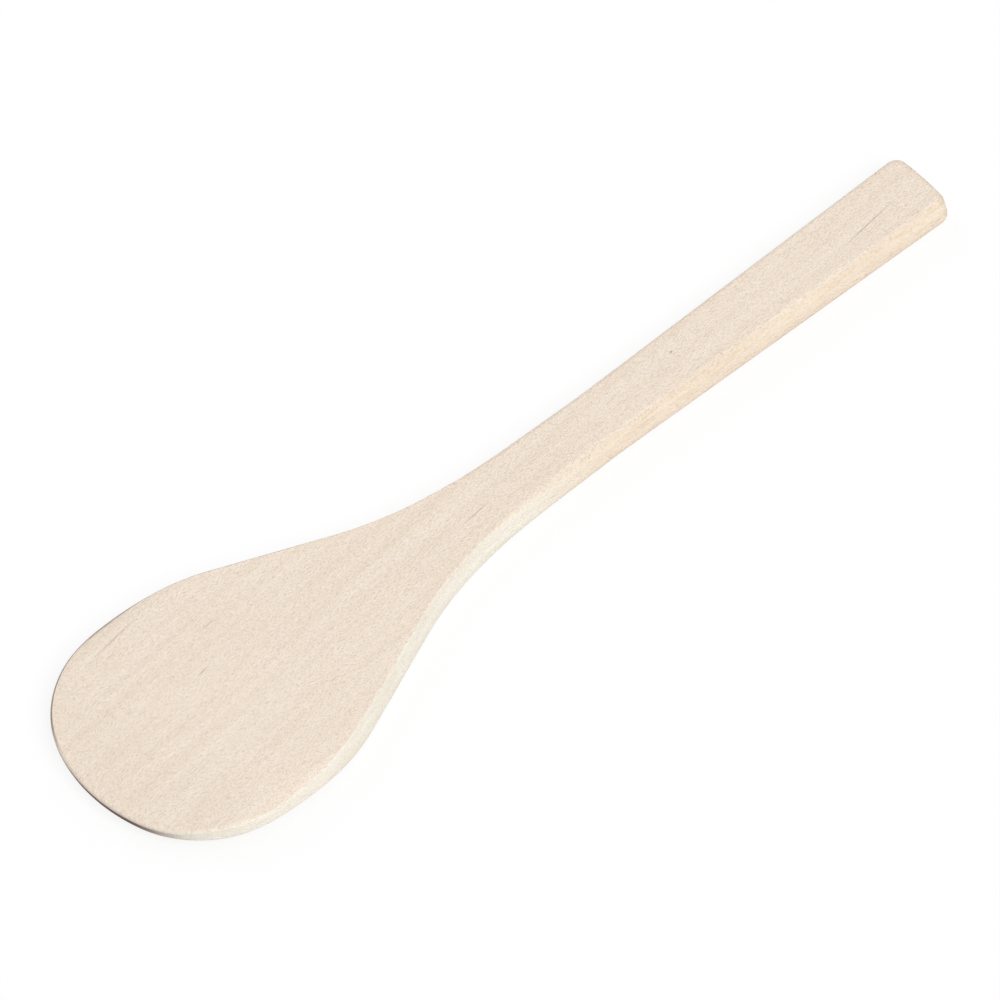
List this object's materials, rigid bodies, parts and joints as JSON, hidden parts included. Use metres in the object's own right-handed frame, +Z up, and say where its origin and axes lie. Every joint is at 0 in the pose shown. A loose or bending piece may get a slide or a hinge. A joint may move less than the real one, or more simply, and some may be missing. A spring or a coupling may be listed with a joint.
{
  "type": "rice paddle",
  "caption": "One-piece wooden rice paddle: broad round-nosed blade that thins towards its nose, mostly from underneath, slanting flanks, and a slim flat handle that flares to its butt.",
  "frame": {"origin": "on the underside, below the middle of the paddle's length and width", "axes": "+X along the handle, from the blade's nose to the butt; +Y across the blade; +Z up, out of the blade's top face"},
  "size_m": [0.3, 0.0878, 0.009],
  "materials": {
    "wood": "pale beech, planed and fine sanded, left bare with no oil or lacquer"
  },
  "bodies": {
    "root": {"paddle": "wood"}
  },
  "joints": []
}
